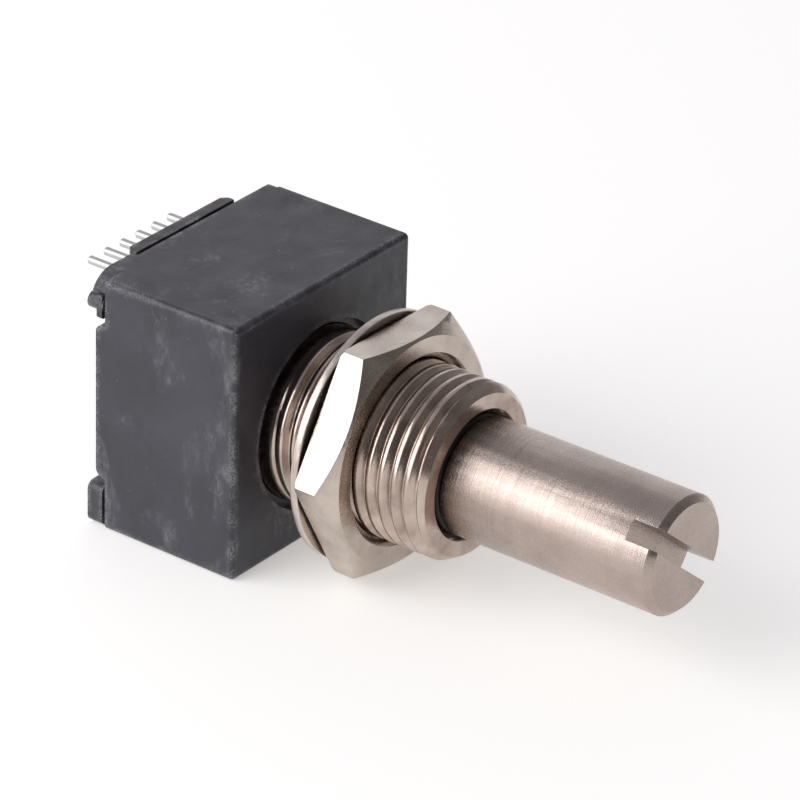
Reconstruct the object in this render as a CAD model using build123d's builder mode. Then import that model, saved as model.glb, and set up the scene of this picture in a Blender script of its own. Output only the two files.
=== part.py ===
from build123d import *
import math
import os

# Panel-mount optical rotary encoder with a push switch.
# The shaft lies along -Y, out of the front, with +Z up and +X to the right.
# The origin is the middle of the threaded bushing where it leaves the housing's front face.

# Housing, millimetres
housing_width = 14.2
housing_height = 14.3
axis_drop = 0.43             # the shaft axis lies this far below the housing's middle
side_depth = 8.4            # front face to the rear edge of the side walls
rim_depth = 9.0             # front face to the rear edge of the top wall and the side tongues
horn_depth = 9.35           # front face to the rounded rear corner of the top wall
side_wall = 1.0
front_wall = 1.6
long_edge_radius = 0.3
front_edge_radius = 0.3
horn_left_radius = 1.6
horn_right_radius = 0.5
tongue_low = -4.2          # side tongue, measured from the housing's middle
tongue_high = 4.6
tongue_radius = 0.5

# Threaded bushing, 3/8-32 outside
bushing_length = 9.8
thread_radius = 4.7
bushing_flange_step = 0.7   # outward from the thread's crest
bushing_flange_thickness = 1.0
bushing_chamfer = 0.35
bushing_mouth_bevel = 0.295
face_recess_step = 0.45     # outward from the thread's crest
face_recess_depth = 0.5

# Shaft
shaft_radius = 3.175
shaft_length = 22.5         # front face to the slotted end
shaft_chamfer = 0.35
slot_width = 1.1
slot_depth = 1.75
slot_angle = -39.3          # from +X towards +Z
journal_step = 1.175        # inward from the shaft's surface
journal_flat_depth = 0.4
shoulder_gap = 0.55         # bushing's rear face to the shaft's shoulder
push_travel = 0.35

# Shaft seal in its groove at the bushing's mouth
seal_section_radius = 0.31
seal_groove_width = 0.9
seal_groove_out = 0.1       # how far the groove's front wall stands out of the bushing's end
seal_squeeze_gap = 0.04

# Retaining ring
ring_step = 0.575           # outward from the shaft's surface
ring_thickness = 0.36
ring_groove_depth = 0.475
ring_opening = 3.2

# Mounting nut and washer
nut_across_flats = 12.4
nut_thickness = 2.0
nut_stand_off = 3.8         # front face to the nut's rear face
nut_turn = -1.5             # a corner's angle from +X towards +Z, degrees
nut_face_step = 0.15        # inward from the flats to the front face's edge
nut_chamfer_depth = 0.7
nut_rear_chamfer = 0.12
nut_mouth_step = 0.4        # outward from the bore
washer_width = 1.83
washer_bore_clearance = 0.12
washer_thickness = 0.45
washer_gap = 0.18           # between the washer and the nut

# Rotor: thrust washer, disc hub and code disc
thrust_clearance = 0.15     # outward from the retaining ring
thrust_width = 0.5
thrust_thickness = 0.3
skirt_clearance = 0.2       # outward from the retaining ring
skirt_wall = 0.4
web_thickness = 0.45
push_clearance = 0.1        # between the pressed shaft and what it nears
seat_step = 0.5             # outward from the boss
seat_height = 0.4
boss_step = 0.5             # outward from the hub's rear journal
boss_height = 1.0
hub_wall = 0.6
hub_journal_length = 0.65
disc_radius = 5.3
disc_thickness = 0.12
disc_window_count = 64
window_inner_radius = 4.7
window_outer_radius = 5.15
window_share = 0.5          # part of each window's pitch that is open

# Optics
led_width = 3.0
led_height = 1.7
led_depth = 1.55
led_low = 4.5
led_lens_radius = 0.4
led_lens_height = 0.15
led_disc_gap = 0.12
lead_radius = 0.2
lead_rise = 1.12            # from the emitter's lower side to its leads
detector_width = 2.6
detector_height = 1.4
detector_thickness = 1.25
detector_low = 3.9
reticle_width = 2.2
reticle_height = 0.8
reticle_thickness = 0.15
reticle_slit_count = 5
reticle_slit_width = 0.12
reticle_slit_spacing = 0.3
reticle_slit_height = 0.5

# Carrier plate, circuit board and its parts
carrier_thickness = 0.6
carrier_top = 5.25
carrier_window_width = 3.6
carrier_window_low = 3.55
board_thickness = 0.8
board_hole_radius = 1.1
pin_hole_radius = 0.27
switch_size = 4.6
switch_height = 0.9
switch_cavity_radius = 1.75
switch_floor = 0.15
plunger_radius = 1.0
plunger_flange_radius = 1.5
plunger_flange_thickness = 0.2
dome_radius = 1.6
dome_sheet = 0.08
dome_crown = [(0, 0), (0.35, 0.1), (0.7, 0.42), (1, 1)]    # shares of the dome's radius and height
resistor_size = (1.6, 0.8, 0.45)
capacitor_size = (2.0, 1.25, 0.7)
chip_row_drop = 4.2         # from the shaft axis down to the row of chips
chip_spacing = 6.4

# Terminals and their insulator
pin_count = 6
pin_pitch = 1.27
pin_radius = 0.23
pin_height = 5.65            # above the shaft axis
pin_tip = 13.0              # front face to the pins' tips
pin_tip_chamfer = 0.1
pin_root_length = 0.3       # how far a pin stands out of the board's front
row_shift = 0.3             # the row's middle lies this far to +X
insulator_overhang = 0.75   # beyond the outer pins' centres
insulator_low = 4.95
insulator_start = 7.6
insulator_end = 9.95
insulator_edge = 0.3

# Rear cover
cover_thickness = 1.0
cover_inset = 8.05
foot_end = 9.55
foot_gap = 0.2
foot_top = -4.75            # measured from the housing's middle, as are the ear's ends
ear_low = 4.8
ear_high = 6.3
ear_depth = 8.95
foot_inner = 4.65            # from the middle to the inner side of a foot
foot_radius = 0.45
ear_nub = 0.45

# Small radii and clearances
plate_corner_radius = 0.4
switch_corner_radius = 0.3
led_corner_radius = 0.15
detector_corner_radius = 0.1
ear_corner_radius = 0.15
chip_edge_radius = 0.08
running_clearance = 0.03
bore_clearance = 0.05
assembly_gap = 0.05

# Worked out from the sizes above
middle = axis_drop
housing_top = middle + housing_height / 2
housing_bottom = middle - housing_height / 2
cavity_width = housing_width - 2 * side_wall
cavity_height = housing_height - 2 * side_wall
cavity_top = housing_top - side_wall
cavity_bottom = housing_bottom + side_wall
flange_rear = front_wall + bushing_flange_thickness
bushing_bore = shaft_radius + running_clearance
nut_bore = thread_radius + bore_clearance
shoulder = flange_rear + shoulder_gap
thrust_rear = flange_rear + thrust_thickness
web_front = shoulder + push_travel + push_clearance
web_rear = web_front + web_thickness
disc_front = web_rear + seat_height
disc_rear = disc_front + disc_thickness
boss_rear = disc_front + boss_height
carrier_front = boss_rear + assembly_gap
carrier_rear = carrier_front + carrier_thickness
board_front = carrier_rear + assembly_gap
board_rear = board_front + board_thickness
shaft_end = board_front - push_travel - push_clearance
plunger_front = shaft_end + assembly_gap
flange_back = board_rear + assembly_gap + plunger_flange_thickness
nut_front = nut_stand_off + nut_thickness
washer_front = nut_stand_off - washer_gap
washer_rear = washer_front - washer_thickness
row_half = (pin_count - 1) * pin_pitch / 2
insulator_half = row_half + insulator_overhang
journal_radius = shaft_radius - journal_step
ring_radius = shaft_radius + ring_step
ring_groove_radius = shaft_radius - ring_groove_depth
thrust_inner_radius = ring_radius + thrust_clearance
thrust_outer_radius = thrust_inner_radius + thrust_width
skirt_inner_radius = ring_radius + skirt_clearance
skirt_outer_radius = skirt_inner_radius + skirt_wall
hub_journal_radius = journal_radius + hub_wall
boss_radius = hub_journal_radius + boss_step
seat_radius = boss_radius + seat_step
bushing_flange_radius = thread_radius + bushing_flange_step
bushing_mouth_radius = bushing_bore + bushing_mouth_bevel
face_recess_radius = thread_radius + face_recess_step
washer_inner_radius = thread_radius + washer_bore_clearance
washer_outer_radius = washer_inner_radius + washer_width
nut_mouth_radius = nut_bore + nut_mouth_step
nut_face_radius = nut_across_flats / 2 - nut_face_step
lead_spacing = 2 * pin_pitch            # the leads pass between the terminals
hub_bore = journal_radius + running_clearance
journal_flat = journal_radius - journal_flat_depth
hub_flat = journal_flat + running_clearance
led_front = disc_front - led_disc_gap - led_lens_height - led_depth
window_middle = (window_inner_radius + window_outer_radius) / 2
lead_height = led_low + lead_rise


def section(y):
    """The plane across the shaft axis at this depth, facing the front."""
    return Plane.XZ.offset(-y)


def save(piece, name):
    """Label a finished piece and write it to its own file."""
    piece.part.label = name
    export_step(piece.part, f"parts/{name}.step")


os.makedirs("parts", exist_ok=True)

# Housing: a moulded cup, open at the back
notch_left = row_shift - insulator_half - foot_gap
with BuildPart() as housing:
    with BuildSketch(section(side_depth)):
        with Locations((0, middle)):
            RectangleRounded(housing_width, housing_height, long_edge_radius)
    extrude(amount=side_depth)
    fillet(housing.faces().sort_by(Axis.Y)[0].edges(), front_edge_radius)
    # the top wall's rear corners stand back and are rounded, the left one more
    with BuildSketch(section(horn_depth)) as horn_outline:
        with Locations((0, middle)):
            Rectangle(housing_width, housing_height)
        fillet(horn_outline.vertices().group_by(Axis.Y)[-1].sort_by(Axis.X)[0], horn_left_radius)
        fillet(horn_outline.vertices().group_by(Axis.Y)[-1].sort_by(Axis.X)[-1], horn_right_radius)
        with Locations((0, housing_bottom)):
            Rectangle(2 * housing_width, 2 * (ear_high + housing_height / 2), mode=Mode.SUBTRACT)
    extrude(amount=horn_depth - side_depth + front_edge_radius)
    # side tongues between the cover's feet and ears
    with BuildSketch(Plane.YZ.offset(-housing_width / 2)):
        with Locations((side_depth, middle + (tongue_low + tongue_high) / 2)):
            RectangleRounded(2 * (rim_depth - side_depth), tongue_high - tongue_low, tongue_radius)
    extrude(amount=housing_width)
    # room for everything inside
    with BuildSketch(section(horn_depth)):
        with Locations((0, middle)):
            RectangleRounded(cavity_width, cavity_height, long_edge_radius)
    extrude(amount=horn_depth - front_wall, mode=Mode.SUBTRACT)
    # the top wall stops short from the terminal insulator to the right corner
    with BuildSketch(section(horn_depth)):
        with Locations((notch_left + housing_width / 2, housing_top)):
            Rectangle(housing_width, 2 * side_wall + assembly_gap)
    extrude(amount=horn_depth - rim_depth, mode=Mode.SUBTRACT)
    # bushing hole with a shallow recess around it
    with BuildSketch(section(front_wall)):
        Circle(nut_bore)
    extrude(amount=front_wall, mode=Mode.SUBTRACT)
    with BuildSketch(section(face_recess_depth)):
        Circle(face_recess_radius)
    extrude(amount=face_recess_depth, mode=Mode.SUBTRACT)
save(housing, "housing")

# Threaded bushing: its outside is the thread's crest cylinder
with BuildPart() as bushing:
    with BuildSketch(Plane.XY):
        with BuildLine():
            Polyline(
                (bushing_bore, flange_rear),
                (bushing_flange_radius, flange_rear),
                (bushing_flange_radius, front_wall),
                (thread_radius, front_wall),
                (thread_radius, bushing_chamfer - bushing_length),
                (thread_radius - bushing_chamfer, -bushing_length),
                (bushing_mouth_radius, -bushing_length),
                (bushing_bore, bushing_mouth_radius - bushing_bore - bushing_length),
                close=True,
            )
        make_face()
    revolve(axis=Axis.Y)
save(bushing, "threaded_bushing")

# Shaft: slotted end, seal groove, ring groove and a journal with a driving flat
seal_front = -bushing_length - seal_groove_out
seal_rear = seal_front + seal_groove_width
seal_ring_radius = bushing_bore - seal_squeeze_gap - seal_section_radius
seal_floor = seal_ring_radius - seal_section_radius
ring_front = flange_rear + assembly_gap / 2
ring_rear = ring_front + ring_thickness
with BuildPart() as shaft:
    with BuildSketch(Plane.XY):
        with BuildLine():
            Polyline(
                (0, -shaft_length),
                (shaft_radius - shaft_chamfer, -shaft_length),
                (shaft_radius, shaft_chamfer - shaft_length),
                (shaft_radius, seal_front),
                (seal_floor, seal_front),
                (seal_floor, seal_rear),
                (shaft_radius, seal_rear),
                (shaft_radius, flange_rear),
                (ring_groove_radius, flange_rear),
                (ring_groove_radius, ring_rear + assembly_gap / 2),
                (shaft_radius, ring_rear + assembly_gap / 2),
                (shaft_radius, shoulder),
                (journal_radius, shoulder),
                (journal_radius, shaft_end),
                (0, shaft_end),
                close=True,
            )
        make_face()
    revolve(axis=Axis.Y)
    with BuildSketch(section(slot_depth - shaft_length)):
        Rectangle(3 * shaft_radius, slot_width, rotation=slot_angle)
    extrude(amount=slot_depth, mode=Mode.SUBTRACT)
    with BuildSketch(section(shaft_end)):
        with Locations((0, journal_flat + journal_radius)):
            Rectangle(4 * journal_radius, 2 * journal_radius)
    extrude(amount=shaft_end - shoulder, mode=Mode.SUBTRACT)
save(shaft, "shaft")

with BuildPart() as shaft_seal:
    with BuildSketch(Plane.XY):
        with Locations((seal_ring_radius, (seal_front + seal_rear) / 2)):
            Circle(seal_section_radius)
    revolve(axis=Axis.Y)
save(shaft_seal, "shaft_seal")

# Retaining ring: snaps into its groove behind the bushing, open at the bottom
with BuildPart() as retaining_ring:
    with BuildSketch(section(ring_rear)):
        Circle(ring_radius)
        Circle(ring_groove_radius + running_clearance, mode=Mode.SUBTRACT)
        with Locations((0, -ring_radius)):
            Rectangle(ring_opening, 2 * (ring_radius - ring_groove_radius / 2), mode=Mode.SUBTRACT)
    extrude(amount=ring_thickness)
save(retaining_ring, "retaining_ring")

# Mounting nut: hexagon with a turned chamfer in front and a light one behind
nut_corner_radius = nut_across_flats / 2 / math.cos(math.radians(30))
with BuildPart() as mounting_nut:
    with BuildSketch(section(-nut_stand_off)):
        RegularPolygon(nut_across_flats / 2, 6, major_radius=False, rotation=nut_turn)
    extrude(amount=nut_thickness)
    with BuildSketch(Plane.XY):
        with BuildLine():
            Polyline(
                (nut_bore, -nut_stand_off),
                (nut_corner_radius - nut_rear_chamfer, -nut_stand_off),
                (nut_corner_radius, -nut_stand_off - nut_rear_chamfer),
                (nut_corner_radius, nut_chamfer_depth - nut_front),
                (nut_face_radius, -nut_front),
                (nut_mouth_radius, -nut_front),
                (nut_bore, nut_mouth_radius - nut_bore - nut_front),
                close=True,
            )
        make_face()
    revolve(axis=Axis.Y, mode=Mode.INTERSECT)
save(mounting_nut, "mounting_nut")

with BuildPart() as panel_washer:
    with BuildSketch(section(-washer_rear)):
        Circle(washer_outer_radius)
        Circle(washer_inner_radius, mode=Mode.SUBTRACT)
    extrude(amount=washer_thickness)
save(panel_washer, "panel_washer")

# Rotor
with BuildPart() as thrust_washer:
    with BuildSketch(section(thrust_rear)):
        Circle(thrust_outer_radius)
        Circle(thrust_inner_radius, mode=Mode.SUBTRACT)
    extrude(amount=thrust_thickness)
save(thrust_washer, "thrust_washer")

skirt_front = thrust_rear + assembly_gap
hub_end = boss_rear + hub_journal_length
with BuildPart() as disc_hub:
    with BuildSketch(Plane.XY):
        with BuildLine():
            Polyline(
                (0, web_front),
                (skirt_inner_radius, web_front),
                (skirt_inner_radius, skirt_front),
                (skirt_outer_radius, skirt_front),
                (skirt_outer_radius, web_rear),
                (seat_radius, web_rear),
                (seat_radius, disc_front),
                (boss_radius, disc_front),
                (boss_radius, boss_rear),
                (hub_journal_radius, boss_rear),
                (hub_journal_radius, hub_end),
                (0, hub_end),
                close=True,
            )
        make_face()
    revolve(axis=Axis.Y)
    with BuildSketch(section(hub_end)):
        Circle(hub_bore)
        with Locations((0, hub_flat + hub_bore)):
            Rectangle(4 * hub_bore, 2 * hub_bore, mode=Mode.SUBTRACT)
    extrude(amount=hub_end - web_front, mode=Mode.SUBTRACT)
save(disc_hub, "disc_hub")

window_width = 2 * math.pi * window_middle / disc_window_count * window_share
with BuildPart() as code_disc:
    with BuildSketch(section(disc_rear)):
        Circle(disc_radius)
        Circle(boss_radius + running_clearance, mode=Mode.SUBTRACT)
        with PolarLocations(window_middle, disc_window_count):
            Rectangle(window_outer_radius - window_inner_radius, window_width, mode=Mode.SUBTRACT)
    extrude(amount=disc_thickness)
save(code_disc, "code_disc")

# Optics: the emitter shines back through the disc's windows at the detector
led_rear = led_front + led_depth
with BuildPart() as led_emitter:
    with BuildSketch(section(led_rear)):
        with Locations((row_shift, led_low + led_height / 2)):
            RectangleRounded(led_width, led_height, led_corner_radius)
    extrude(amount=led_depth)
    with BuildSketch(section(led_rear + led_lens_height)):
        with Locations((row_shift, window_middle)):
            Circle(led_lens_radius)
    extrude(amount=led_lens_height)
save(led_emitter, "led_emitter")

lead_end = board_rear + pin_root_length
with BuildPart() as led_leads:
    with BuildSketch(section(lead_end)):
        with Locations((row_shift, lead_height)):
            with GridLocations(lead_spacing, 1, 2, 1):
                Circle(lead_radius)
    extrude(amount=lead_end - led_rear)
save(led_leads, "led_leads")

detector_front = board_front - detector_thickness
with BuildPart() as photo_detector:
    with BuildSketch(section(board_front)):
        with Locations((row_shift, detector_low + detector_height / 2)):
            RectangleRounded(detector_width, detector_height, detector_corner_radius)
    extrude(amount=detector_thickness)
save(photo_detector, "photo_detector")

with BuildPart() as reticle:
    with BuildSketch(section(detector_front)):
        with Locations((row_shift, window_middle)):
            Rectangle(reticle_width, reticle_height)
            with GridLocations(reticle_slit_spacing, 1, reticle_slit_count, 1):
                Rectangle(reticle_slit_width, reticle_slit_height, mode=Mode.SUBTRACT)
    extrude(amount=reticle_thickness)
save(reticle, "reticle")

# Carrier plate: the hub's rear bearing
carrier_bottom = cavity_bottom + assembly_gap
with BuildPart() as bearing_plate:
    with BuildSketch(section(carrier_rear)):
        with Locations((0, (carrier_top + carrier_bottom) / 2)):
            RectangleRounded(cavity_width - 2 * assembly_gap, carrier_top - carrier_bottom, plate_corner_radius)
        Circle(hub_journal_radius + running_clearance, mode=Mode.SUBTRACT)
        with Locations((row_shift, carrier_window_low + cavity_height / 2)):
            Rectangle(carrier_window_width, cavity_height, mode=Mode.SUBTRACT)
    extrude(amount=carrier_thickness)
save(bearing_plate, "bearing_plate")

# Circuit board with holes for the plunger, the terminals and the emitter's leads
board_height = cavity_height - 2 * assembly_gap
with BuildPart() as circuit_board:
    with BuildSketch(section(board_rear)):
        with Locations((0, middle)):
            RectangleRounded(cavity_width - 2 * assembly_gap, board_height, plate_corner_radius)
        Circle(board_hole_radius, mode=Mode.SUBTRACT)
        with Locations((row_shift, pin_height)):
            with GridLocations(pin_pitch, 1, pin_count, 1):
                Circle(pin_hole_radius, mode=Mode.SUBTRACT)
        with Locations((row_shift, lead_height)):
            with GridLocations(lead_spacing, 1, 2, 1):
                Circle(pin_hole_radius, mode=Mode.SUBTRACT)
    extrude(amount=board_thickness)
save(circuit_board, "circuit_board")

# Push switch on the board's rear side
with BuildPart() as switch_body:
    with BuildSketch(section(board_rear + switch_height)):
        RectangleRounded(switch_size, switch_size, switch_corner_radius)
    extrude(amount=switch_height)
    with BuildSketch(section(board_rear + switch_height - switch_floor)):
        Circle(switch_cavity_radius)
    extrude(amount=switch_height - switch_floor, mode=Mode.SUBTRACT)
save(switch_body, "switch_body")

with BuildPart() as switch_plunger:
    with BuildSketch(section(flange_back)):
        Circle(plunger_flange_radius)
    extrude(amount=plunger_flange_thickness)
    with BuildSketch(section(flange_back)):
        Circle(plunger_radius)
    extrude(amount=flange_back - plunger_front)
save(switch_plunger, "switch_plunger")

dome_rim = board_rear + switch_height - switch_floor - dome_sheet
dome_peak = flange_back + assembly_gap / 2
dome_height = dome_rim - dome_peak
dome_profile = [(share * dome_radius, dome_peak + drop * dome_height) for share, drop in dome_crown]
with BuildPart() as snap_dome:
    with BuildSketch(Plane.XY):
        with BuildLine():
            Polyline(*dome_profile, *[(x, y + dome_sheet) for x, y in reversed(dome_profile)], close=True)
        make_face()
    revolve(axis=Axis.Y)
save(snap_dome, "snap_dome")

# Chips on the board's rear side: two resistors and a capacitor
chips = {
    "resistor_left": (-chip_spacing / 2, resistor_size),
    "resistor_right": (chip_spacing / 2, resistor_size),
    "bypass_capacitor": (0, capacitor_size),
}
for chip_name, (chip_x, (chip_length, chip_width, chip_height)) in chips.items():
    with BuildPart() as chip:
        with BuildSketch(section(board_rear + chip_height)):
            with Locations((chip_x, -chip_row_drop)):
                Rectangle(chip_length, chip_width)
        extrude(amount=chip_height)
        fillet(chip.edges(), chip_edge_radius)
    save(chip, chip_name)

# Terminal pins, left to right, and the insulator that holds them
pin_start = board_front - pin_root_length
for pin_number in range(pin_count):
    pin_x = row_shift - row_half + pin_number * pin_pitch
    with BuildPart() as terminal_pin:
        with BuildSketch(section(pin_tip)):
            with Locations((pin_x, pin_height)):
                Circle(pin_radius)
        extrude(amount=pin_tip - pin_start)
        chamfer(terminal_pin.faces().sort_by(Axis.Y)[-1].edges(), pin_tip_chamfer)
    save(terminal_pin, f"terminal_pin_{pin_number + 1}")

insulator_top = cavity_top - assembly_gap
with BuildPart() as terminal_insulator:
    with BuildSketch(section(insulator_end)):
        with Locations((row_shift, (insulator_low + insulator_top) / 2)):
            Rectangle(2 * insulator_half, insulator_top - insulator_low)
    extrude(amount=insulator_end - insulator_start)
    with BuildSketch(section(insulator_end)):
        with Locations((row_shift, (insulator_low + housing_top) / 2)):
            Rectangle(2 * insulator_half, housing_top - insulator_low)
    extrude(amount=insulator_end - rim_depth - foot_gap)
    chamfer(terminal_insulator.faces().sort_by(Axis.Y)[-1].edges().filter_by(Axis.Z), insulator_edge)
    with BuildSketch(section(insulator_end)):
        with Locations((row_shift, pin_height)):
            with GridLocations(pin_pitch, 1, pin_count, 1):
                Circle(pin_radius)
    extrude(amount=insulator_end - insulator_start, mode=Mode.SUBTRACT)
save(terminal_insulator, "terminal_insulator")

# Rear cover: a plate inside the walls, with feet and ears that reach out to the sides
cover_rear = cover_inset + cover_thickness
foot_bottom = -housing_height / 2 + assembly_gap
with BuildPart() as rear_cover:
    with BuildSketch(section(cover_rear)):
        with Locations((0, middle)):
            RectangleRounded(cavity_width - 2 * assembly_gap, cavity_height - 2 * assembly_gap, plate_corner_radius)
    extrude(amount=cover_thickness)
    foot_width = housing_width / 2 - foot_inner
    for side in (-1, 1):
        with BuildSketch(section(foot_end)):
            with Locations((side * (foot_inner + foot_width / 2), middle + (foot_bottom + foot_top) / 2)):
                RectangleRounded(foot_width, foot_top - foot_bottom, foot_radius)
        extrude(amount=foot_end - side_depth - foot_gap)
        with BuildSketch(section(ear_depth)):
            with Locations((side * (foot_inner + foot_width / 2), middle + (ear_low + ear_high) / 2)):
                RectangleRounded(foot_width, ear_high - ear_low - foot_gap, ear_corner_radius)
        extrude(amount=ear_depth - side_depth - foot_gap)
        with BuildSketch(section(foot_end)):
            nub_x = side * (housing_width / 2 - ear_nub)
            with Locations((nub_x, middle + ear_high - ear_nub - foot_gap)):
                Circle(ear_nub)
        extrude(amount=foot_end - cover_rear + cover_thickness / 2)
    # room for the terminal insulator
    with BuildSketch(section(foot_end)):
        with Locations((row_shift, insulator_low - foot_gap + cavity_height / 2)):
            Rectangle(2 * (insulator_half + foot_gap), cavity_height)
    extrude(amount=foot_end - cover_inset, mode=Mode.SUBTRACT)
save(rear_cover, "rear_cover")
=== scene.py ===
import math

import bmesh
import bpy
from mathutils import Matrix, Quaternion, Vector


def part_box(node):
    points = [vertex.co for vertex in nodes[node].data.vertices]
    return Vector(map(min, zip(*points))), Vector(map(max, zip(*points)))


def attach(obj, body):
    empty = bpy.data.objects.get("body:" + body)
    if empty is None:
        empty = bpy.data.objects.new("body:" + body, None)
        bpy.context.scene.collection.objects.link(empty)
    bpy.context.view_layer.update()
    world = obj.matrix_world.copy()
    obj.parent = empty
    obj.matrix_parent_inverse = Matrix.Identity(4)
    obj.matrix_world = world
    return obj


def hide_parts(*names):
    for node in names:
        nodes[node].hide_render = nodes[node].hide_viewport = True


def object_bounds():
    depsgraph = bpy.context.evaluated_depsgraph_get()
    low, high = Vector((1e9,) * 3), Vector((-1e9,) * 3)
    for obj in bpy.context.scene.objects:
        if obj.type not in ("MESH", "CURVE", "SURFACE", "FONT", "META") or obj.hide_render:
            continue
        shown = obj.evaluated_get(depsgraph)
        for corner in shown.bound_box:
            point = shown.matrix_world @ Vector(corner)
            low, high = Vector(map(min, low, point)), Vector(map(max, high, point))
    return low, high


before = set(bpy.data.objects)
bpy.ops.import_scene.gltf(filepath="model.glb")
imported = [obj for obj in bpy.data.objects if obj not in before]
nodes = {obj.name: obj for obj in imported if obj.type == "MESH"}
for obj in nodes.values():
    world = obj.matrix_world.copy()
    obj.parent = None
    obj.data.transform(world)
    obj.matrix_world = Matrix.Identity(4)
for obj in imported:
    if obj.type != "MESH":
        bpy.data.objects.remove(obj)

cadLow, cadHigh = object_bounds()
mm = 0.001


def hexColour(text):
    # sRGB hex to Blender's linear colour
    shares = [int(text[i:i + 2], 16) / 255 for i in (1, 3, 5)]
    linear = [s / 12.92 if s <= 0.04045 else ((s + 0.055) / 1.055) ** 2.4 for s in shares]
    return (*linear, 1)


def addNode(tree, kind, inputs=None, **settings):
    # one node with its settings; a socket in inputs is linked, anything else is a value
    node = tree.nodes.new(kind)
    for name, value in settings.items():
        setattr(node, name, value)
    for name, value in (inputs or {}).items():
        if isinstance(value, bpy.types.NodeSocket):
            tree.links.new(value, node.inputs[name])
        else:
            node.inputs[name].default_value = value
    return node


# ---- camera
view = {
    "azimuth": -53.4,       # degrees, from looking along +Y
    "elevation": 28.56,
    "roll": 1.68,
    "distance": 276.4,      # millimetres
    "lens": 253.8,
    "sensor": 36.0,
    "aim": (-4.17, -8.0, 5.36),
}


def makeCamera():
    turn, rise = math.radians(view["azimuth"]), math.radians(view["elevation"])
    back = Vector((math.sin(turn) * math.cos(rise), -math.cos(turn) * math.cos(rise), math.sin(rise)))
    data = bpy.data.cameras.new("productCamera")
    data.lens, data.sensor_width = view["lens"], view["sensor"]
    data.clip_start, data.clip_end = 10 * mm, 10
    camera = bpy.data.objects.new("productCamera", data)
    camera.rotation_mode = "QUATERNION"
    camera.location = Vector(view["aim"]) * mm + back * view["distance"] * mm
    tilt = Quaternion((0, 0, 1), math.radians(view["roll"]))
    camera.rotation_quaternion = (-back).to_track_quat("-Z", "Y") @ tilt
    bpy.context.scene.collection.objects.link(camera)
    bpy.context.scene.camera = camera


makeCamera()
print("camera placed")

# ---- studio: pale floor, one big softbox to the left, a weak one behind, dim front
studio = {
    "floorColour": "#f4f3f1",
    "floorGlow": 0.45,          # the table is lit from below
    "floorRoughness": 0.9,
    "floorGap": 0.02,           # below the body, in millimetres
    "floorSize": 3000,
    "skyBack": "#c4c3c9",
    "skyFront": "#7a7878",
    "skyTurns": (-0.7, 0.3),    # where the front sky starts and ends fading into the back
    "skyStrength": 0.85,
    "keyPower": 0.95,
    "keyDistance": 330,
    "keySize": (330, 300),
    "keyFrom": (-0.74, 0.50, 0.44),
    "backPower": 0.2,
    "backDistance": 420,
    "backSize": (500, 260),
    "backFrom": (0.75, 0.55, 0.36),
}


def makeStudio():
    scene = bpy.context.scene
    scene.view_settings.view_transform = "Standard"
    world = bpy.data.worlds.new("studio")
    scene.world = world
    world.use_nodes = True
    tree = world.node_tree
    tree.nodes.clear()
    direction = addNode(tree, "ShaderNodeTexCoord").outputs["Generated"]
    split = addNode(tree, "ShaderNodeSeparateXYZ", {"Vector": direction})
    share = addNode(tree, "ShaderNodeMapRange",
                    {"Value": split.outputs["Y"], "From Min": studio["skyTurns"][0],
                     "From Max": studio["skyTurns"][1]},
                    interpolation_type="SMOOTHSTEP")
    sky = addNode(tree, "ShaderNodeMix",
                  {"Factor": share.outputs["Result"], "A": hexColour(studio["skyFront"]),
                   "B": hexColour(studio["skyBack"])}, data_type="RGBA")
    light = addNode(tree, "ShaderNodeBackground", {"Color": sky.outputs["Result"],
                                                   "Strength": studio["skyStrength"]})
    out = addNode(tree, "ShaderNodeOutputWorld")
    tree.links.new(light.outputs["Background"], out.inputs["Surface"])

    for name in ("key", "back"):
        data = bpy.data.lights.new(name + "Softbox", "AREA")
        data.shape = "RECTANGLE"
        data.size, data.size_y = (side * mm for side in studio[name + "Size"])
        data.energy = studio[name + "Power"]
        lamp = bpy.data.objects.new(name + "Softbox", data)
        toLamp = Vector(studio[name + "From"]).normalized()
        lamp.location = toLamp * studio[name + "Distance"] * mm
        lamp.rotation_mode = "QUATERNION"
        lamp.rotation_quaternion = toLamp.to_track_quat("Z", "Y")
        lamp.visible_camera = False
        scene.collection.objects.link(lamp)

    half = studio["floorSize"] * mm / 2
    level = cadLow.z - studio["floorGap"] * mm
    mesh = bpy.data.meshes.new("floor")
    corners = [(-half, -half, level), (half, -half, level), (half, half, level), (-half, half, level)]
    mesh.from_pydata(corners, [], [(0, 1, 2, 3)])
    floor = bpy.data.objects.new("floor", mesh)
    scene.collection.objects.link(floor)
    paint = bpy.data.materials.new("floorPaper")
    paint.use_nodes = True
    shader = paint.node_tree.nodes["Principled BSDF"]
    shader.inputs["Base Color"].default_value = hexColour(studio["floorColour"])
    shader.inputs["Roughness"].default_value = studio["floorRoughness"]
    shader.inputs["Emission Color"].default_value = hexColour(studio["floorColour"])
    shader.inputs["Emission Strength"].default_value = studio["floorGlow"]
    mesh.materials.append(paint)


makeStudio()
print("studio lit")


# ---- materials
def startMaterial(name, shaderInputs):
    # a named material with its shader, and coordinates in metres on the object
    material = bpy.data.materials.new(name)
    material.use_nodes = True
    tree = material.node_tree
    shader = tree.nodes["Principled BSDF"]
    for key, value in shaderInputs.items():
        shader.inputs[key].default_value = value
    place = addNode(tree, "ShaderNodeTexCoord").outputs["Object"]
    return material, tree, shader, place


def fineness(size):
    # noise scale for a pattern whose blobs are this many millimetres across
    return 1 / (size * mm)


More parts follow.
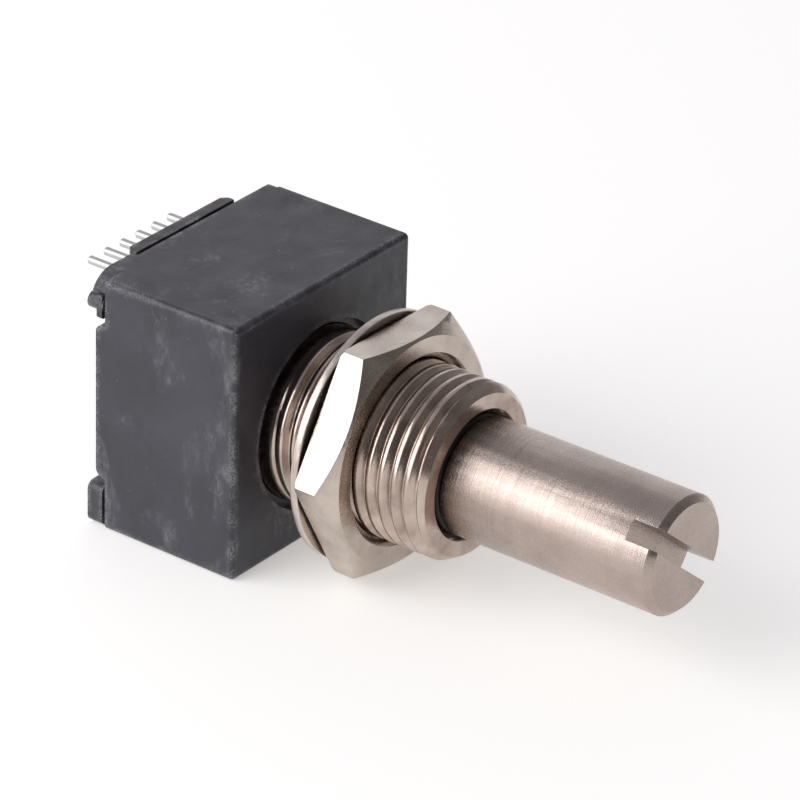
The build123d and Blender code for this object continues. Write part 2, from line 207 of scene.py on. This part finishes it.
def alongProfile(tree, place):
    # distance from the shaft axis plus distance along it, so rings run round every turned face
    split = addNode(tree, "ShaderNodeSeparateXYZ", {"Vector": place})
    flat = addNode(tree, "ShaderNodeCombineXYZ", {"X": split.outputs["X"], "Z": split.outputs["Z"]})
    radius = addNode(tree, "ShaderNodeVectorMath", {0: flat.outputs["Vector"]}, operation="LENGTH")
    return addNode(tree, "ShaderNodeMath", {0: radius.outputs["Value"], 1: split.outputs["Y"]},
                   operation="ADD").outputs["Value"]


# what all the plating shares: stain size in millimetres, and how the grain changes the roughness
plating = {"stain": 2.2, "smoother": 0.05, "rougher": 0.07, "relief": 0.02}
nickelPlate = {
    "bushing": {"light": "#cdbdb2", "dark": "#a08f85", "roughness": 0.16,
        "ring": 0.035, "grain": 0.08, "bump": 0.015},
    "nut": {"light": "#cbbfb5", "dark": "#b2a69c", "roughness": 0.22,
        "ring": 0.03, "grain": 0.09, "bump": 0.022},
    "washer": {"light": "#d6cac1", "dark": "#bdb0a7", "roughness": 0.3,
        "ring": 0.05, "grain": 0.09, "bump": 0.04},
    "shaft": {"light": "#b5a69e", "dark": "#a99a92", "roughness": 0.27,
        "ring": 0.04, "grain": 0.07, "bump": 0.06},
}


def nickelPlatedBrass(piece):
    # nickel plate on turned brass: warm grey metal, soft satin reflections, fine rings from the lathe
    look = nickelPlate[piece]
    material, tree, shader, place = startMaterial(piece + "NickelPlate", {"Metallic": 1})
    rings = addNode(tree, "ShaderNodeTexNoise",
                    {"W": alongProfile(tree, place), "Scale": fineness(look["ring"]), "Detail": 2},
                    noise_dimensions="1D")
    grain = addNode(tree, "ShaderNodeTexNoise",
                    {"Vector": place, "Scale": fineness(look["grain"]), "Detail": 3})
    stain = addNode(tree, "ShaderNodeTexNoise",
                    {"Vector": place, "Scale": fineness(plating["stain"]), "Detail": 5, "Roughness": 0.6})
    shade = addNode(tree, "ShaderNodeMapRange",
                    {"Value": stain.outputs["Fac"], "From Min": 0.35, "From Max": 0.65})
    colour = addNode(tree, "ShaderNodeMix",
                     {"Factor": shade.outputs["Result"], "A": hexColour(look["dark"]),
                      "B": hexColour(look["light"])}, data_type="RGBA")
    tree.links.new(colour.outputs["Result"], shader.inputs["Base Color"])
    rough = addNode(tree, "ShaderNodeMapRange",
                    {"Value": grain.outputs["Fac"], "From Min": 0.3, "From Max": 0.7,
                     "To Min": look["roughness"] - plating["smoother"],
                     "To Max": look["roughness"] + plating["rougher"]})
    tree.links.new(rough.outputs["Result"], shader.inputs["Roughness"])
    relief = addNode(tree, "ShaderNodeMath", {0: rings.outputs["Fac"], 1: grain.outputs["Fac"]},
                     operation="ADD")
    bump = addNode(tree, "ShaderNodeBump",
                   {"Height": relief.outputs["Value"], "Distance": plating["relief"] * mm,
                    "Strength": look["bump"] * 10})
    tree.links.new(bump.outputs["Normal"], shader.inputs["Normal"])
    return material


# colours, then sizes in millimetres
mouldedBlack = {
    "base": "#2c2c34",
    "cloud": "#3b3b44",
    "haze": "#85858c",
    "dust": "#a5a4a8",
    "roughness": 0.4,
    "smoother": 0.07,
    "rougher": 0.1,
    "cloudSize": 4,
    "wipeSize": 3.2,
    "wipeTilt": 0.6,        # radians from upright on the side walls
    "wipeStretch": 0.55,
    "fibreSize": 0.35,
    "speckSize": 0.22,
    "dustPatch": 0.9,
    "dustGrain": 0.1,
    "glossSize": 2,
    "skinSize": 0.12,
    "skinDepth": 0.02,
    "edgeWidth": 0.6,
}


def mouldedPolyester(name, look):
    # glass-filled polyester, moulded: satin charcoal, cloudy from handling,
    # with pale dust on its edges and a few specks
    material, tree, shader, place = startMaterial(name, {"IOR": 1.5})

    def band(socket, low, high, least=0.0, most=1.0):
        return addNode(tree, "ShaderNodeMapRange",
                       {"Value": socket, "From Min": low, "From Max": high, "To Min": least,
                        "To Max": most}).outputs["Result"]

    def spread(share, under, over):
        return addNode(tree, "ShaderNodeMix", {"Factor": share, "A": under, "B": hexColour(over)},
                       data_type="RGBA").outputs["Result"]

    def noise(vector, size, detail, twist=0.0):
        return addNode(tree, "ShaderNodeTexNoise",
                       {"Vector": vector, "Scale": fineness(size), "Detail": detail, "Roughness": 0.62,
                        "Distortion": twist}).outputs["Fac"]

    def times(one, other):
        return addNode(tree, "ShaderNodeMath", {0: one, 1: other}, operation="MULTIPLY").outputs["Value"]

    clouds = band(noise(place, look["cloudSize"], 6, 0.6), 0.35, 0.7)
    body = spread(clouds, hexColour(look["base"]), look["cloud"])
    # wiped marks, made of short fibres that lie the same way
    drawn = addNode(tree, "ShaderNodeMapping",
                    {"Vector": place, "Rotation": (look["wipeTilt"], 0, 0),
                     "Scale": (1, 1, look["wipeStretch"])}).outputs["Vector"]
    wiped = times(band(noise(drawn, look["wipeSize"], 9, 0.5), 0.53, 0.7),
                  band(noise(drawn, look["fibreSize"], 6, 0.8), 0.42, 0.68, 0.1, 0.8))
    body = spread(wiped, body, look["haze"])
    specks = band(noise(place, look["speckSize"], 2), 0.72, 0.8, 0, 0.7)
    body = spread(specks, body, look["dust"])
    # dust lies where the surface turns a corner
    rounded = addNode(tree, "ShaderNodeBevel", {"Radius": look["edgeWidth"] * mm}, samples=4)
    facing = addNode(tree, "ShaderNodeNewGeometry")
    level = addNode(tree, "ShaderNodeVectorMath",
                    {0: rounded.outputs["Normal"], 1: facing.outputs["Normal"]}, operation="DOT_PRODUCT")
    patches = times(band(noise(place, look["dustPatch"], 6), 0.42, 0.6),
                    band(noise(place, look["dustGrain"], 3), 0.42, 0.6))
    edge = times(band(level.outputs["Value"], 0.9985, 0.88), patches)
    body = spread(edge, body, look["dust"])
    tree.links.new(body, shader.inputs["Base Color"])
    gloss = band(noise(place, look["glossSize"], 5), 0.3, 0.7, look["roughness"] - look["smoother"],
                 look["roughness"] + look["rougher"])
    tree.links.new(gloss, shader.inputs["Roughness"])
    bump = addNode(tree, "ShaderNodeBump",
                   {"Height": noise(place, look["skinSize"], 3), "Distance": look["skinDepth"] * mm,
                    "Strength": 0.5})
    tree.links.new(bump.outputs["Normal"], shader.inputs["Normal"])
    return material


plain = {
    "seal_rubber": ("nitrileRubber", "#151515", 0.55, 0),
    "spring_steel": ("rolledSpringSteel", "#9d9d9f", 0.3, 1),
    "acetal": ("mouldedAcetal", "#e6e3da", 0.35, 0),
    "etched_metal": ("etchedSteel", "#8d8d90", 0.35, 1),
    "clear_epoxy": ("clearEpoxy", "#cfd8da", 0.12, 0),
    "tinned": ("brightTin", "#c9c9c8", 0.42, 1),
    "ic_plastic": ("mouldedEpoxy", "#1c1c1e", 0.5, 0),
    "board_laminate": ("solderMask", "#14522b", 0.3, 0),
    "chip_ceramic": ("sinteredCeramic", "#6b5a48", 0.5, 0),
}


def simpleMaterial(slotName):
    name, colour, roughness, metallic = plain[slotName]
    material, tree, shader, place = startMaterial(name, {"Roughness": roughness, "Metallic": metallic})
    noise = addNode(tree, "ShaderNodeTexNoise", {"Vector": place, "Scale": fineness(0.4), "Detail": 4})
    shade = addNode(tree, "ShaderNodeMix", {"Factor": noise.outputs["Fac"], "A": hexColour(colour),
                                            "B": [c * 0.8 for c in hexColour(colour)]}, data_type="RGBA")
    tree.links.new(shade.outputs["Result"], shader.inputs["Base Color"])
    return material


finishes = {slotName: simpleMaterial(slotName) for slotName in plain}
finishes["moulded_black"] = mouldedPolyester("mouldedPolyester", mouldedBlack)
finishes["insulator_brown_black"] = mouldedPolyester("mouldedPhenolic", {**mouldedBlack, "base": "#2b2727",
                                                                        "cloud": "#3a3434"})
for piece in nickelPlate:
    finishes["nickel_" + piece] = nickelPlatedBrass(piece)

softening = {"weld": 0.0001, "segments": 2, "angle": 34}    # millimetres, count, degrees
# how far the tumbled or moulded edges are rounded off, in millimetres
softEdges = {"mounting_nut": 0.06, "panel_washer": 0.05, "shaft": 0.06, "terminal_insulator": 0.08,
             "housing": 0.06, "rear_cover": 0.08}
softEdges.update({f"terminal_pin_{number}": 0.06 for number in range(1, 7)})
for nodeName, node in nodes.items():
    slotName = node.data.materials[0].name
    node.data.materials[0] = finishes[slotName]
    weld = node.modifiers.new("weld", "WELD")
    weld.merge_threshold = softening["weld"] * mm
    if nodeName in softEdges:
        edge = node.modifiers.new("softEdge", "BEVEL")
        edge.width = softEdges[nodeName] * mm
        edge.segments = softening["segments"]
        edge.limit_method = "ANGLE"
        edge.angle_limit = math.radians(softening["angle"])
        edge.use_clamp_overlap = True
        edge.harden_normals = True
print("CAD pieces finished")

# ---- threaded bushing: the helical thread, its run-out by the face and the chamfered start
bushing = {
    "pitch": 25.4 / 32,         # millimetres: 3/8-32 thread
    "depth": 0.35,
    # shares of the pitch and of the depth along one turn: crest, flank, rounded root, flank
    "profile": [(0, 0.07), (0.04, 0), (0.36, 0), (0.4, 0.07), (0.62, 0.92), (0.67, 1), (0.73, 1),
                (0.78, 0.92)],
    "plainNeck": 0.5,           # unthreaded length by the housing's face
    "runOut": 0.5,              # length over which the thread fades out
    "chamfer": 0.4,
    "land": 0.8,                # flat ring on the end
    "frontWall": 1.6,           # how far the housing's wall runs back over the bushing
    "flangeStep": 0.7,          # the flange's edge outward from the crest
    "sealGap": 0.04,            # the bore outward from the seal
    "leadIn": 1.5,              # turns cut off before the face, so that every row starts level
    "spareTurns": 4,
    "steps": 180,
}
meshing = {"merge": 0.0005, "sharpAngle": 40}   # millimetres, degrees


def makeBushing():
    # the thread's rows follow the helix; the rest is plain rings that meet it at both ends
    low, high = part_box("threaded_bushing")
    flangeRadius = high.x / mm
    crest = flangeRadius - bushing["flangeStep"]
    sealLow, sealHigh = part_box("shaft_seal")
    bore = sealHigh.x / mm + bushing["sealGap"]
    end, rear = low.y / mm, high.y / mm
    steps, pitch, depth = bushing["steps"], bushing["pitch"], bushing["depth"]
    shape = bushing["profile"]
    knots = len(shape)
    rows = (int(-end / pitch) + bushing["spareTurns"]) * knots
    tip = crest - bushing["chamfer"]

    def ringPoint(y, radius, step):
        angle = 2 * math.pi * step / steps
        return radius * math.cos(angle) * mm, y * mm, radius * math.sin(angle) * mm

    vertices, faces = [], []
    for step in range(steps):
        for row in range(rows):
            turn, knot = divmod(row, knots)
            y = (bushing["leadIn"] - turn - shape[knot][0] - step / steps) * pitch
            fade = min(1, max(0, (-bushing["plainNeck"] - y) / bushing["runOut"]))
            y = min(0, max(end, y))
            radius = crest - depth * shape[knot][1] * fade
            vertices.append(ringPoint(y, min(radius, tip + y - end), step))
    for step in range(steps):
        for row in range(rows - 1):
            here = step * rows + row
            after = here + rows
            if step == steps - 1:
                if row + knots + 1 >= rows:
                    continue
                after = row + knots
            faces.append((here, here + 1, after + 1, after))
    mouth = tip - bushing["land"]
    rings = [(0, crest), (bushing["frontWall"], crest), (bushing["frontWall"], flangeRadius),
             (rear, flangeRadius), (rear, bore), (end + mouth - bore, bore), (end, mouth), (end, tip)]
    start = len(vertices)
    for step in range(steps):
        vertices += [ringPoint(y, radius, step) for y, radius in rings]
    count = len(rings)
    for step in range(steps):
        here, after = start + step * count, start + (step + 1) % steps * count
        faces += [(after + row, after + row + 1, here + row + 1, here + row) for row in range(count - 1)]
    return meshPiece("threadedBushing", vertices, faces)


def meshPiece(name, vertices, faces):
    # one mesh with doubles merged, faces turned outward and the steep edges kept sharp
    work = bmesh.new()
    points = [work.verts.new(vertex) for vertex in vertices]
    for face in faces:
        work.faces.new([points[index] for index in face])
    bmesh.ops.remove_doubles(work, verts=work.verts, dist=meshing["merge"] * mm)
    bmesh.ops.dissolve_degenerate(work, edges=work.edges, dist=meshing["merge"] * mm)
    bmesh.ops.recalc_face_normals(work, faces=work.faces)
    mesh = bpy.data.meshes.new(name)
    work.to_mesh(mesh)
    work.free()
    mesh.shade_smooth()
    mesh.set_sharp_from_angle(angle=math.radians(meshing["sharpAngle"]))
    piece = bpy.data.objects.new(name, mesh)
    bpy.context.scene.collection.objects.link(piece)
    return piece


threadPiece = makeBushing()
threadPiece.data.materials.append(finishes["nickel_bushing"])
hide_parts("threaded_bushing")
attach(threadPiece, "base")
print("thread cut")
